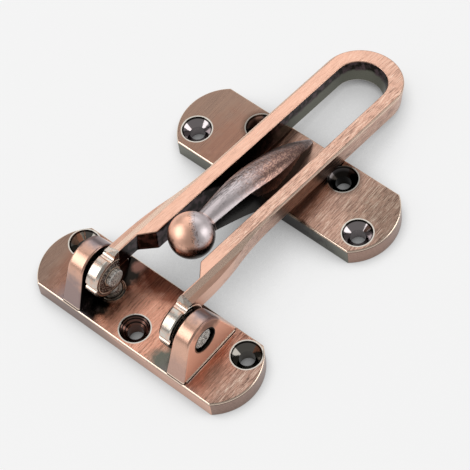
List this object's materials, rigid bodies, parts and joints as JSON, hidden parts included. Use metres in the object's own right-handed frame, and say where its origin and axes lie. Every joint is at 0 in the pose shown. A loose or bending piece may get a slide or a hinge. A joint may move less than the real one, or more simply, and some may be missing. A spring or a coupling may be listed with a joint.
{
  "type": "swing bar door guard",
  "caption": "Surface-mounted door guard: a U-shaped bar swings on a plate with two ears and passes over a ball on the catch plate's arm.",
  "frame": {"origin": "middle of the bar plate's back face, where it lies on the door frame", "axes": "+X along the bar plate, +Y from the bar plate towards the catch plate and the bar's closed end, +Z away from the door"},
  "size_m": [0.084, 0.134, 0.0304],
  "materials": {
    "antique_copper": "brushed antique copper plating, darker in the recesses",
    "pin_steel": "dull plated steel",
    "spring_steel": "bright spring wire"
  },
  "bodies": {
    "plates": {"bar_plate": "antique_copper", "catch_plate": "antique_copper", "left_pivot_pin": "pin_steel", "right_pivot_pin": "pin_steel", "left_detent_spring": "spring_steel", "right_detent_spring": "spring_steel"},
    "bar": {"swing_bar": "antique_copper"},
    "left_plunger": {"left_detent_plunger": "pin_steel"},
    "right_plunger": {"right_detent_plunger": "pin_steel"}
  },
  "joints": [
    {"name": "bar_swing", "type": "hinge", "parent": "plates", "child": "bar", "pos_m": [0, -0.0005, 0.0171], "axis": [1, 0, 0], "range_deg": [0, 180]},
    {"name": "left_detent", "type": "slide", "parent": "plates", "child": "left_plunger", "axis": [0, 0, 1], "range_m": [-0.001, 0], "stiffness_N_per_m": 2000, "springref_m": 0.001, "deforming": ["left_detent_spring"]},
    {"name": "right_detent", "type": "slide", "parent": "plates", "child": "right_plunger", "axis": [0, 0, 1], "range_m": [-0.001, 0], "stiffness_N_per_m": 2000, "springref_m": 0.001, "deforming": ["right_detent_spring"]}
  ]
}
